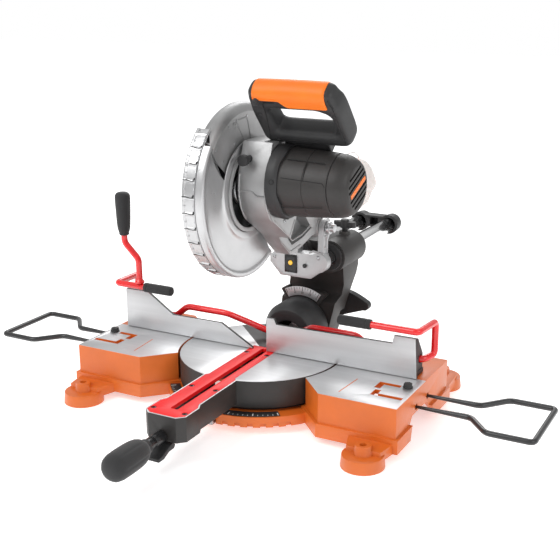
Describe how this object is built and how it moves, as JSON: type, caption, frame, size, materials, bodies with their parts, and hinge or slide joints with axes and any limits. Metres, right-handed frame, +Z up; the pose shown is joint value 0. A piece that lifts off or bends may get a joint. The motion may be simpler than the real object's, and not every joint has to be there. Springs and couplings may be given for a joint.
{
  "type": "sliding compound mitre saw",
  "caption": "Sliding compound mitre saw on a cast base with four feet, turntable, two slide rails, guarded blade, side motor, loop handle, hold-down frame and extension bars.",
  "frame": {"origin": "centre of the saw's plan box, on the floor under its feet", "axes": "+X to the operator's right along the fences, +Y to the back along the slide rails, +Z up"},
  "size_m": [0.804, 0.698, 0.4426],
  "materials": {
    "orange_paint": "satin",
    "machined": "brushed",
    "black_plastic": "fine texture",
    "black_wire": "satin",
    "red_paint": "gloss",
    "rubber": "matte",
    "charcoal": "satin",
    "red_plate": "satin",
    "cast_alloy": "cast",
    "steel": "turned",
    "chrome": "polished",
    "lens": "gloss",
    "guard_shell": "polished",
    "copper": "varnished",
    "orange_grip": "soft",
    "bag_cloth": "translucent"
  },
  "bodies": {
    "base": {"base_casting": "orange_paint", "mitre_scale": "black_plastic", "right_fence": "machined", "left_fence": "machined", "right_fence_bracket": "black_plastic", "left_fence_bracket": "black_plastic", "turntable_pivot_bolt": "steel"},
    "right_bar": {"right_extension_bar": "black_wire"},
    "left_bar": {"left_extension_bar": "black_wire"},
    "right_screw": {"right_bar_screw": "black_plastic"},
    "left_screw": {"left_bar_screw": "black_plastic"},
    "hold_down": {"hold_down_frame": "red_paint", "hold_down_lever": "red_paint", "hold_down_grip": "rubber", "left_clamp_sleeve": "rubber", "right_clamp_sleeve": "rubber"},
    "table": {"turntable": "charcoal", "kerf_plate": "red_plate", "bevel_trunnion": "black_plastic", "bevel_pivot_bolt": "steel"},
    "mitre_lock": {"mitre_lock_grip": "rubber", "mitre_lock_rod": "black_plastic"},
    "detent_trigger": {"detent_lever": "black_plastic"},
    "detent": {"detent_pin": "steel"},
    "tilt_arm": {"bevel_arm": "black_plastic", "bevel_scale": "machined", "left_rail_seal": "rubber", "right_rail_seal": "rubber", "left_rail_bushing": "steel", "right_rail_bushing": "steel"},
    "bevel_lock": {"bevel_lock_lever": "black_plastic"},
    "slide_lock": {"slide_lock_knob": "black_plastic"},
    "carriage": {"carriage_bracket": "cast_alloy", "left_slide_rail": "chrome", "right_slide_rail": "chrome", "rail_end_cap": "black_plastic", "head_pivot_shaft": "steel", "laser_housing": "black_plastic", "laser_lens": "lens"},
    "head": {"upper_guard": "cast_alloy", "gear_case": "cast_alloy", "motor_housing": "charcoal", "motor_end_cap": "black_plastic", "motor_stator": "steel", "handle_frame": "black_plastic", "handle_grip": "orange_grip", "dust_port": "black_plastic", "dust_bag": "bag_cloth"},
    "guard": {"lower_guard": "guard_shell"},
    "arbor": {"saw_blade": "steel", "arbor_and_gear": "steel", "inner_flange": "steel", "outer_flange": "steel", "arbor_bolt": "steel"},
    "rotor": {"motor_armature": "copper"},
    "switch": {"trigger": "black_plastic"},
    "safety": {"lock_off_button": "rubber"},
    "spindle_lock": {"spindle_lock_button": "black_plastic"}
  },
  "joints": [
    {"name": "mitre_swivel", "type": "hinge", "parent": "base", "child": "table", "pos_m": [0.0075, -0.009, 0.066], "axis": [0, 0, 1], "range_deg": [-45, 45]},
    {"name": "mitre_lock_turn", "type": "hinge", "parent": "table", "child": "mitre_lock", "pos_m": [0.0075, -0.309, 0.04], "axis": [0, -1, 0], "range_deg": [0, 180]},
    {"name": "detent_squeeze", "type": "hinge", "parent": "table", "child": "detent_trigger", "pos_m": [0.0075, -0.241, 0.027], "axis": [-1, 0, 0], "range_deg": [0, 18.1]},
    {"name": "detent_release", "type": "slide", "parent": "table", "child": "detent", "axis": [0, -1, 0], "range_m": [0, 0.0039], "stiffness_N_per_m": 150, "springref_m": -0.001},
    {"name": "bevel_tilt", "type": "hinge", "parent": "table", "child": "tilt_arm", "pos_m": [0.0075, 0.141, 0.066], "axis": [0, -1, 0], "range_deg": [0, 40]},
    {"name": "bevel_lock_turn", "type": "hinge", "parent": "tilt_arm", "child": "bevel_lock", "pos_m": [0.0075, 0.176, 0.066], "axis": [0, -1, 0], "range_deg": [0, 20]},
    {"name": "slide_travel", "type": "slide", "parent": "tilt_arm", "child": "carriage", "axis": [0, -1, 0], "range_m": [-0.0155, 0.1]},
    {"name": "slide_lock_turn", "type": "hinge", "parent": "tilt_arm", "child": "slide_lock", "pos_m": [0.0515, 0.163, 0.205], "axis": [0, 0, 1], "range_deg": [0, 90]},
    {"name": "head_pivot", "type": "hinge", "parent": "carriage", "child": "head", "pos_m": [0.0345, 0.091, 0.222], "axis": [1, 0, 0], "range_deg": [0, 48], "stiffness_Nm_per_rad": 8, "springref_deg": -91.67},
    {"name": "lower_guard_turn", "type": "hinge", "parent": "head", "child": "guard", "pos_m": [0.0075, -0.06, 0.3], "axis": [-1, 0, 0], "range_deg": [0, 121.5]},
    {"name": "blade_spin", "type": "hinge", "parent": "head", "child": "arbor", "pos_m": [0.0075, -0.06, 0.3], "axis": [1, 0, 0], "continuous": true},
    {"name": "armature_spin", "type": "hinge", "parent": "head", "child": "rotor", "pos_m": [0.1075, -0.056, 0.315], "axis": [1, 0, 0], "continuous": true},
    {"name": "trigger_squeeze", "type": "slide", "parent": "head", "child": "switch", "axis": [0, -0.6561, 0.7547], "range_m": [0, 0.004], "stiffness_N_per_m": 400, "springref_m": -0.002},
    {"name": "lock_off_push", "type": "slide", "parent": "head", "child": "safety", "axis": [0, 0.7547, 0.6561], "range_m": [0, 0.0025], "stiffness_N_per_m": 300, "springref_m": -0.001},
    {"name": "spindle_lock_push", "type": "slide", "parent": "head", "child": "spindle_lock", "axis": [0, 1, 0], "range_m": [0, 0.004], "stiffness_N_per_m": 300, "springref_m": -0.001},
    {"name": "right_bar_slide", "type": "slide", "parent": "base", "child": "right_bar", "axis": [1, 0, 0], "range_m": [-0.055, 0.01]},
    {"name": "left_bar_slide", "type": "slide", "parent": "base", "child": "left_bar", "axis": [-1, 0, 0], "range_m": [-0.07, 0]},
    {"name": "right_bar_lock", "type": "hinge", "parent": "base", "child": "right_screw", "pos_m": [0.2315, -0.038, 0.066], "axis": [0, 0, 1], "range_deg": [0, 180]},
    {"name": "left_bar_lock", "type": "hinge", "parent": "base", "child": "left_screw", "pos_m": [-0.2165, -0.038, 0.066], "axis": [0, 0, 1], "range_deg": [0, 180]},
    {"name": "hold_down_swing", "type": "hinge", "parent": "base", "child": "hold_down", "pos_m": [0.0075, 0.013, 0.086], "axis": [1, 0, 0], "range_deg": [0, 30]}
  ],
  "couplings": [
    {"joint": "lower_guard_turn", "follows": "head_pivot", "ratio": 2.5104},
    {"joint": "armature_spin", "follows": "blade_spin", "ratio": -2.3043},
    {"joint": "detent_squeeze", "follows": "detent_release", "rad_per_m": 80.554}
  ]
}
